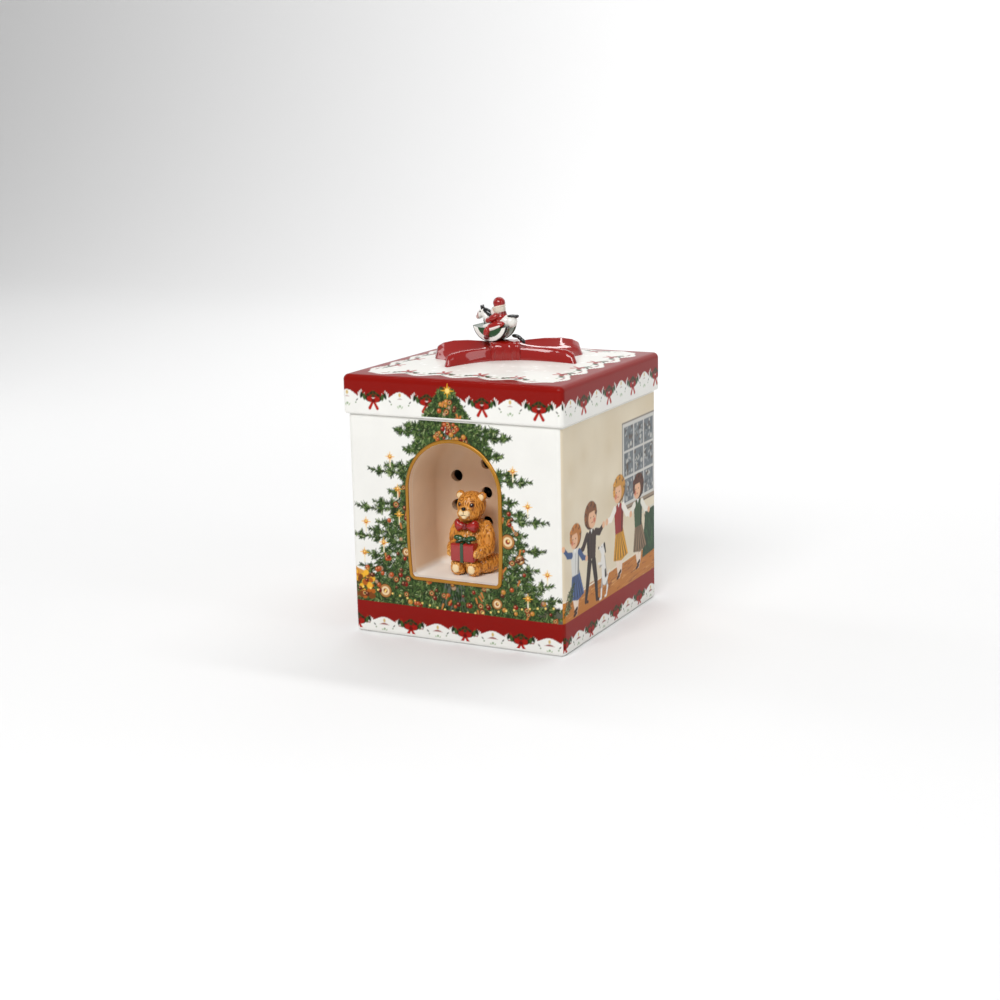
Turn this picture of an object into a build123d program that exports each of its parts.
from build123d import *
import os

# Square glazed-ceramic gift box with a lift-off lid, an arched niche in its front wall,
# a seated bear in the niche, and a ribbon bow with a rocking-horse finial on the lid.
# Millimetres; origin at the centre of the foot, +Z up, the niche faces -Y.

os.makedirs("parts", exist_ok=True)

# --- box ---
body_side = 153.5
body_height = 147.8
body_corner = 3.6
body_wall = 4.5
floor_thickness = 5.0
foot_rounding = 2.4
rim_rounding = 1.2
foot_ring_width = 8.0
foot_recess = 1.5

# --- niche in the front wall ---
niche_half_width = 32.6
niche_half_width_low = 31.3
niche_floor = 42.3
niche_taper_top = 75.0
niche_springing = 100.5
niche_depth = 46.5
niche_wall = 3.5
niche_low_corner = 2.5
niche_back_rounding = 12.0
vent_radius = 4.0
vent_height = 91.0
vent_pitch_x = 22.0
vent_pitch_z = 20.0
gold_width = 2.3
gold_height = 1.1
gold_rounding = 0.8

# --- lid ---
lid_side = 158.0
lid_corner = 3.6
lid_edge_height = 173.6
lid_crown = 3.0
lid_crown_radius = 76.0
lid_wall = 5.0
lid_top_thickness = 5.0
lid_edge_rounding = 3.4
skirt_rounding = 1.6
collar_clearance = 1.5
collar_drop = 7.0
collar_wall = 4.0

# --- ribbon bow ---
bow_angle = 30.5
bow_half_length = 46.0
bow_half_width = 27.0
bow_waist = 7.5
bow_dome_offset = (24.0, 13.5)
bow_dome_height = 170.5
bow_dome_radii = (29.0, 16.0, 16.5)
bow_stretch = {("front", "left"): 0.89, ("back", "right"): 1.18}  # the other two loops: 1
crease_gap = 0.15
knot_length = 20.0
knot_width = 21.0
knot_top = 188.8
knot_rounding = 4.0

# --- bear ---
bear_y = -50.0
bear_head_z = 87.2

# --- rocking horse and rider, facing -X ---
rocker_half_width = 7.8
rocker_panel = 2.4
rocker_middle_x = -6.8
rocker_bottom = 188.4
rocker_tip_height = 199.0
rocker_half_length = 12.4
panel_dip = 1.6
rider_x = -3.2


def finish(part, name):
    """Keeps the piece's main solid, labels it and writes its file."""
    solid = part.solids().sort_by(SortBy.VOLUME)[-1]
    solid.label = name
    export_step(solid, f"parts/{name}.step")


def ellipsoid(centre, radii, direction=(0, 0, 1)):
    """Ellipsoid with its third radius along the direction."""
    with BuildPart(mode=Mode.PRIVATE) as ball:
        Sphere(1)
        scale(by=radii)
    return Plane(origin=centre, z_dir=Vector(*direction)).from_local_coords(ball.part)


def mirrored_x(point, sign):
    """The point, or its mirror image across the middle plane of the bear."""
    return (sign * point[0], point[1], point[2])


def mirrored_y(point, sign):
    """The point, or its mirror image across the middle plane of the horse."""
    return (point[0], sign * point[1], point[2])


# ------------------------------------------------------------------ box and niche
front_plane = Plane.XZ.offset(body_side / 2)
inner_side = body_side - 2 * body_wall

# Arched opening in its own plane, local y being the height.
with BuildSketch() as arch:
    with BuildLine():
        left_foot = (-niche_half_width_low, niche_floor)
        right_foot = (niche_half_width_low, niche_floor)
        bulge = niche_half_width - (niche_half_width - niche_half_width_low) / 4
        bulge_height = (niche_floor + niche_taper_top) / 2
        ThreePointArc(left_foot, (-bulge, bulge_height), (-niche_half_width, niche_taper_top))
        Line((-niche_half_width, niche_taper_top), (-niche_half_width, niche_springing))
        ThreePointArc(
            (-niche_half_width, niche_springing),
            (0, niche_springing + niche_half_width),
            (niche_half_width, niche_springing),
        )
        Line((niche_half_width, niche_springing), (niche_half_width, niche_taper_top))
        ThreePointArc((niche_half_width, niche_taper_top), (bulge, bulge_height), right_foot)
        Line(right_foot, left_foot)
    make_face()
    fillet(arch.vertices().group_by(Axis.Y)[0], niche_low_corner)

with BuildPart() as box_shell:
    with BuildSketch():
        RectangleRounded(body_side, body_side, body_corner)
    extrude(amount=body_height)
    fillet(box_shell.faces().sort_by(Axis.Z)[0].edges(), foot_rounding)
    fillet(box_shell.faces().sort_by(Axis.Z)[-1].edges(), rim_rounding)
    with BuildSketch(Plane.XY.offset(floor_thickness)):
        Rectangle(inner_side, inner_side)
    extrude(amount=body_height, mode=Mode.SUBTRACT)
    with BuildSketch():
        Rectangle(inner_side - foot_ring_width, inner_side - foot_ring_width)
    extrude(amount=foot_recess, mode=Mode.SUBTRACT)
    with BuildSketch(front_plane):
        add(arch.sketch_local)
    extrude(amount=-2 * body_wall, mode=Mode.SUBTRACT)
finish(box_shell.part, "box_shell")

niche_front = Plane.XZ.offset(body_side / 2 - body_wall)
niche_back_y = -body_side / 2 + niche_depth

with BuildPart() as niche_space:
    with BuildSketch(niche_front):
        add(arch.sketch_local)
    extrude(amount=-(niche_depth - body_wall))
    fillet(niche_space.faces().sort_by(Axis.Y)[-1].edges(), niche_back_rounding)

with BuildPart() as niche_shell:
    outer_half = niche_half_width + niche_wall
    with BuildSketch(niche_front):
        with Locations((0, niche_springing)):
            Circle(outer_half)
        post_height = niche_springing - niche_floor + niche_wall
        with Locations((0, niche_springing - post_height / 2)):
            Rectangle(2 * outer_half, post_height)
    extrude(amount=-(niche_depth - body_wall + niche_wall))
    fillet(niche_shell.faces().sort_by(Axis.Y)[-1].edges(), niche_back_rounding)
    add(niche_space.part, mode=Mode.SUBTRACT)
    with BuildSketch(Plane.XZ.offset(-niche_back_y)):
        with Locations((0, vent_height), (0, vent_height - vent_pitch_z), (0, vent_height + vent_pitch_z)):
            Circle(vent_radius)
        with Locations((0, vent_height)):
            with GridLocations(2 * vent_pitch_x, vent_pitch_z, 2, 2):
                Circle(vent_radius)
    extrude(amount=2 * niche_wall, both=True, mode=Mode.SUBTRACT)
finish(niche_shell.part, "niche_shell")

with BuildPart() as niche_rim:
    with BuildSketch(front_plane):
        add(arch.sketch_local)
        offset(amount=gold_width)
        add(arch.sketch_local, mode=Mode.SUBTRACT)
    extrude(amount=gold_height)
    outer_edges = niche_rim.faces().sort_by(Axis.Y)[0].outer_wire().edges()
    fillet(outer_edges, gold_rounding)
finish(niche_rim.part, "niche_rim")

# ------------------------------------------------------------------ bear
with BuildPart() as above_niche_floor:
    with BuildSketch(Plane.XY.offset(niche_floor)):
        Rectangle(body_side, body_side)
    extrude(amount=body_height)

torso_shape = ellipsoid((0, bear_y, 60.5), (14.2, 13.4, 19.5))
with BuildPart() as bear_torso:
    add(torso_shape)
    add(above_niche_floor.part, mode=Mode.INTERSECT)
    add(niche_shell.part, mode=Mode.SUBTRACT)
finish(bear_torso.part, "bear_torso")

head_shape = ellipsoid((0, bear_y - 2, bear_head_z), (9.9, 10.3, 9.7))
with BuildPart() as bear_head:
    add(head_shape)
    add(bear_torso.part, mode=Mode.SUBTRACT)
finish(bear_head.part, "bear_head")

muzzle_shape = ellipsoid((0, bear_y - 11.2, 84.6), (4.9, 3.4, 4.2))
with BuildPart() as bear_muzzle:
    add(muzzle_shape)
    add(bear_head.part, mode=Mode.SUBTRACT)
finish(bear_muzzle.part, "bear_muzzle")

gift_y = bear_y - 12.6
gift_size = (17.0, 10.0, 12.0)
gift_z = 58.6
with BuildPart() as gift_box:
    with BuildSketch(Plane.XY.offset(gift_z - gift_size[2] / 2)):
        with Locations((0, gift_y)):
            RectangleRounded(gift_size[0], gift_size[1], 1.2)
    extrude(amount=gift_size[2])
    add(bear_torso.part, mode=Mode.SUBTRACT)
finish(gift_box.part, "gift_box")

ribbon_width = 2.4
ribbon_thickness = 0.5
with BuildPart() as gift_ribbon:
    with BuildSketch(Plane.YZ.offset(-ribbon_width / 2)):
        with Locations((gift_y, gift_z)):
            ribbon_depth = gift_size[1] + 2 * ribbon_thickness
            ribbon_height = gift_size[2] + 2 * ribbon_thickness
            Rectangle(ribbon_depth, ribbon_height)
    extrude(amount=ribbon_width)
    add(gift_box.part, mode=Mode.SUBTRACT)
    add(bear_torso.part, mode=Mode.SUBTRACT)
finish(gift_ribbon.part, "gift_ribbon")

gift_bow_z = gift_z + gift_size[2] / 2 + 3.2
left_loop = ellipsoid((3.9, gift_y + 0.6, gift_bow_z), (2.9, 2.3, 4.0), (1, 0, 0.25))
right_loop = ellipsoid((-3.9, gift_y + 0.6, gift_bow_z), (2.9, 2.3, 4.0), (-1, 0, 0.25))
bow_centre = ellipsoid((0, gift_y, gift_bow_z - 0.6), (1.8, 2.0, 2.9))
with BuildPart() as gift_bow:
    add(left_loop)
    add(right_loop)
    add(bow_centre)
    add(gift_box.part, mode=Mode.SUBTRACT)
    add(gift_ribbon.part, mode=Mode.SUBTRACT)
    add(bear_torso.part, mode=Mode.SUBTRACT)
finish(gift_bow.part, "gift_bow")

tie_y = bear_y - 10.2
tie_z = 75.2
tie_knot_shape = ellipsoid((0, tie_y - 1.2, tie_z - 0.4), (1.8, 2.2, 2.6))
with BuildPart() as bow_tie_knot:
    add(tie_knot_shape)
    add(bear_torso.part, mode=Mode.SUBTRACT)
    add(bear_head.part, mode=Mode.SUBTRACT)
finish(bow_tie_knot.part, "bow_tie_knot")

for side, sign in (("left", 1), ("right", -1)):
    ear_shape = ellipsoid(mirrored_x((8.0, bear_y - 1.5, 93.4), sign), (3.1, 1.9, 3.4))
    with BuildPart() as bear_ear:
        add(ear_shape)
        add(bear_head.part, mode=Mode.SUBTRACT)
    finish(bear_ear.part, f"bear_ear_{side}")

    with BuildPart() as bear_side:
        with BuildSketch(Plane.YZ):
            with Locations((bear_y, body_side / 2)):
                Rectangle(body_side, body_side)
        extrude(amount=sign * body_side)
    thigh_way = mirrored_x((-0.50, -0.86, -0.06), sign)
    thigh_shape = ellipsoid(mirrored_x((9.4, bear_y - 1, 48.8), sign), (6.6, 6.6, 12.5), thigh_way)
    foot_shape = ellipsoid(mirrored_x((5.6, bear_y - 12, 47.6), sign), (5.3, 4.6, 5.5))
    with BuildPart() as bear_leg:
        add(thigh_shape)
        add(foot_shape)
        add(bear_side.part, mode=Mode.INTERSECT)
        add(above_niche_floor.part, mode=Mode.INTERSECT)
        add(niche_shell.part, mode=Mode.SUBTRACT)
        add(bear_torso.part, mode=Mode.SUBTRACT)
        add(gift_box.part, mode=Mode.SUBTRACT)
        add(gift_ribbon.part, mode=Mode.SUBTRACT)
    finish(bear_leg.part, f"bear_leg_{side}")

    upper_way = mirrored_x((0.18, -0.12, -1), sign)
    upper_arm = ellipsoid(mirrored_x((12.4, bear_y - 1.5, 67.5), sign), (4.6, 5.0, 10.5), upper_way)
    fore_way = mirrored_x((-0.50, -0.85, -0.10), sign)
    fore_arm = ellipsoid(mirrored_x((11.4, bear_y - 7.6, 59.2), sign), (4.3, 4.3, 7.8), fore_way)
    with BuildPart() as bear_arm:
        add(upper_arm)
        add(fore_arm)
        add(bear_torso.part, mode=Mode.SUBTRACT)
        add(bear_head.part, mode=Mode.SUBTRACT)
        add(bear_leg.part, mode=Mode.SUBTRACT)
        add(gift_box.part, mode=Mode.SUBTRACT)
        add(gift_ribbon.part, mode=Mode.SUBTRACT)
        add(gift_bow.part, mode=Mode.SUBTRACT)
    finish(bear_arm.part, f"bear_arm_{side}")

    tie_way = mirrored_x((1, 0.35, 0), sign)
    tie_shape = ellipsoid(mirrored_x((5.2, tie_y + 0.6, tie_z), sign), (4.6, 2.8, 4.2), tie_way)
    with BuildPart() as bow_tie_loop:
        add(tie_shape)
        add(bow_tie_knot.part, mode=Mode.SUBTRACT)
        add(bear_torso.part, mode=Mode.SUBTRACT)
        add(bear_head.part, mode=Mode.SUBTRACT)
        add(bear_arm.part, mode=Mode.SUBTRACT)
    finish(bow_tie_loop.part, f"bow_tie_{side}_loop")

# ------------------------------------------------------------------ lid
crown_radius = (lid_crown_radius**2 + lid_crown**2) / (2 * lid_crown)
lid_inside = lid_side - 2 * lid_wall
with BuildPart() as lid_shell:
    with BuildSketch(Plane.XY.offset(body_height)):
        RectangleRounded(lid_side, lid_side, lid_corner)
    extrude(amount=lid_edge_height - body_height)
    fillet(lid_shell.faces().sort_by(Axis.Z)[-1].edges(), lid_edge_rounding)
    fillet(lid_shell.faces().sort_by(Axis.Z)[0].edges(), skirt_rounding)
    with BuildSketch(Plane.XZ):
        with BuildLine():
            crown_top = (0, lid_edge_height + lid_crown)
            crown_edge = (lid_crown_radius, lid_edge_height)
            RadiusArc(crown_top, crown_edge, crown_radius)
            Polyline(
                crown_edge,
                (lid_crown_radius, lid_edge_height - lid_crown),
                (0, lid_edge_height - lid_crown),
                crown_top,
            )
        make_face()
    revolve(axis=Axis.Z)
    with BuildSketch(Plane.XY.offset(body_height)):
        Rectangle(lid_inside, lid_inside)
    extrude(amount=lid_edge_height - body_height - lid_top_thickness, mode=Mode.SUBTRACT)
finish(lid_shell.part, "lid_shell")

collar_side = inner_side - 2 * collar_clearance
collar_inside = collar_side - 2 * collar_wall
with BuildPart() as lid_locating_rim:
    with BuildSketch(Plane.XY.offset(body_height)):
        Rectangle(lid_inside, lid_inside)
    extrude(amount=collar_wall)
    with BuildSketch(Plane.XY.offset(body_height - collar_drop)):
        Rectangle(collar_side, collar_side)
    extrude(amount=collar_drop)
    with BuildSketch(Plane.XY.offset(body_height - collar_drop)):
        Rectangle(collar_inside, collar_inside)
    extrude(amount=collar_drop + collar_wall, mode=Mode.SUBTRACT)
finish(lid_locating_rim.part, "lid_locating_rim")

# ------------------------------------------------------------------ ribbon bow
bow_frame = Plane.XY.rotated((0, 0, bow_angle))

with BuildPart() as bow_knot:
    with BuildSketch(bow_frame.offset(lid_edge_height)):
        RectangleRounded(knot_length, knot_width, knot_rounding)
    extrude(amount=knot_top - lid_edge_height)
    fillet(bow_knot.faces().sort_by(Axis.Z)[-1].edges(), knot_rounding)
    add(lid_shell.part, mode=Mode.SUBTRACT)
finish(bow_knot.part, "bow_knot")

for edge, across in (("front", -1), ("back", 1)):
    for side, along in (("right", 1), ("left", -1)):
        stretch = bow_stretch.get((edge, side), 1.0)
        reach = along * bow_half_length * stretch
        dome_along = along * bow_dome_offset[0] * stretch
        dome_middle = bow_frame.from_local_coords(
            Vector(dome_along, across * bow_dome_offset[1], bow_dome_height)
        )
        dome_radii = (bow_dome_radii[0] * stretch, bow_dome_radii[1], bow_dome_radii[2])
        dome = ellipsoid((0, 0, 0), dome_radii).rotate(Axis.Z, bow_angle)
        dome = dome.translate(dome_middle)
        with BuildPart() as bow_loop:
            with BuildSketch(bow_frame.offset(lid_edge_height)):
                with BuildLine():
                    start = (0, across * crease_gap)
                    waist = (0, across * bow_waist)
                    flare = (reach * 0.5, across * bow_half_width * 0.62)
                    corner = (reach * 0.93, across * bow_half_width)
                    end_middle = (reach, across * bow_half_width * 0.55)
                    notch = (reach * 0.94, across * crease_gap)
                    ThreePointArc(waist, flare, corner)
                    ThreePointArc(corner, end_middle, notch)
                    Polyline(notch, start, waist)
                make_face()
            extrude(amount=knot_top - lid_edge_height)
            add(dome, mode=Mode.INTERSECT)
            add(bow_knot.part, mode=Mode.SUBTRACT)
            add(lid_shell.part, mode=Mode.SUBTRACT)
        finish(bow_loop.part, f"bow_loop_{edge}_{side}")

# ------------------------------------------------------------------ rocking horse
prow = (rocker_middle_x - rocker_half_length, rocker_tip_height)
stern = (rocker_middle_x + rocker_half_length, rocker_tip_height)
keel = (rocker_middle_x, rocker_bottom)
board_half_width = rocker_half_width - rocker_panel
board_inset = 0.7

with BuildPart() as rocker_seat:
    with BuildSketch(Plane.XZ):
        with BuildLine():
            seat_height = rocker_tip_height - 2 * board_inset
            seat_prow = (prow[0] + 2 * board_inset, seat_height)
            seat_stern = (stern[0] - board_inset, seat_height)
            ThreePointArc(seat_prow, (keel[0], keel[1] + board_inset), seat_stern)
            Line(seat_stern, seat_prow)
        make_face()
    extrude(amount=board_half_width, both=True)
    add(bow_knot.part, mode=Mode.SUBTRACT)
finish(rocker_seat.part, "rocker_seat")

body_shape = ellipsoid((-1.2, 0, 200.3), (4.9, 5.0, 9.8), (1, 0, 0.16))
with BuildPart() as horse_body:
    add(body_shape)
    add(rocker_seat.part, mode=Mode.SUBTRACT)
finish(horse_body.part, "horse_body")

neck_shape = ellipsoid((-12.2, 0, 203.0), (3.0, 2.8, 7.4), (-0.62, 0, 1))
face_shape = ellipsoid((-16.9, 0, 205.8), (2.4, 2.2, 4.6), (-0.62, 0, -1))
left_ear = ellipsoid((-15.8, -1.4, 210.0), (0.9, 0.7, 1.7))
right_ear = ellipsoid((-15.8, 1.4, 210.0), (0.9, 0.7, 1.7))
with BuildPart() as horse_head:
    add(neck_shape)
    add(face_shape)
    add(left_ear)
    add(right_ear)
    add(horse_body.part, mode=Mode.SUBTRACT)
    add(rocker_seat.part, mode=Mode.SUBTRACT)
finish(horse_head.part, "horse_head")

crest_shape = ellipsoid((-12.0, 0, 207.4), (1.9, 1.6, 4.8), (1, 0, -0.62))
with BuildPart() as horse_mane:
    add(crest_shape)
    add(horse_head.part, mode=Mode.SUBTRACT)
    add(horse_body.part, mode=Mode.SUBTRACT)
finish(horse_mane.part, "horse_mane")

tail_shape = ellipsoid((9.6, 0, 190.2), (1.7, 2.0, 4.6), (1, 0, -0.55))
with BuildPart() as horse_tail:
    add(tail_shape)
    add(rocker_seat.part, mode=Mode.SUBTRACT)
    add(bow_knot.part, mode=Mode.SUBTRACT)
finish(horse_tail.part, "horse_tail")

# ------------------------------------------------------------------ rider
coat_shape = ellipsoid((rider_x, 0, 201.6), (5.8, 5.6, 7.0))
with BuildPart() as rider_coat:
    add(coat_shape)
    for neighbour in (horse_body, horse_head, horse_mane, rocker_seat):
        add(neighbour.part, mode=Mode.SUBTRACT)
finish(rider_coat.part, "rider_coat")

face_ball = ellipsoid((rider_x, 0, 209.0), (4.3, 4.2, 4.3))
with BuildPart() as rider_head:
    add(face_ball)
    add(rider_coat.part, mode=Mode.SUBTRACT)
finish(rider_head.part, "rider_head")

hat_shape = ellipsoid((rider_x - 0.1, 0, 213.3), (4.5, 4.5, 4.2))
with BuildPart() as rider_hat:
    add(hat_shape)
    add(rider_head.part, mode=Mode.SUBTRACT)
finish(rider_hat.part, "rider_hat")

beard_shape = ellipsoid((rider_x - 3.4, 0, 207.2), (2.6, 3.2, 3.9))
with BuildPart() as rider_beard:
    add(beard_shape)
    for neighbour in (rider_head, rider_hat, rider_coat, horse_mane):
        add(neighbour.part, mode=Mode.SUBTRACT)
finish(rider_beard.part, "rider_beard")

for side, sign in (("left", -1), ("right", 1)):
    with BuildPart() as rocker_side:
        with BuildSketch(Plane.XZ.offset(-sign * board_half_width)):
            with BuildLine():
                top_dip = (keel[0], rocker_tip_height - panel_dip)
                ThreePointArc(prow, keel, stern)
                ThreePointArc(stern, top_dip, prow)
            make_face()
        extrude(amount=-sign * rocker_panel)
        add(bow_knot.part, mode=Mode.SUBTRACT)
    finish(rocker_side.part, f"rocker_side_{side}")

    leg_way = mirrored_y((-0.38, 0.34, -1), sign)
    leg_shape = ellipsoid(mirrored_y((-7.6, 7.7, 196.2), sign), (2.6, 2.4, 6.4), leg_way)
    with BuildPart() as rider_leg:
        add(leg_shape)
        add(rocker_side.part, mode=Mode.SUBTRACT)
    finish(rider_leg.part, f"rider_leg_{side}")

    arm_way = mirrored_y((-0.85, -0.35, -0.45), sign)
    arm_shape = ellipsoid(mirrored_y((-7.4, 5.2, 203.6), sign), (2.2, 2.2, 5.2), arm_way)
    with BuildPart() as rider_arm:
        add(arm_shape)
        add(coat_shape, mode=Mode.SUBTRACT)
    finish(rider_arm.part, f"rider_arm_{side}")
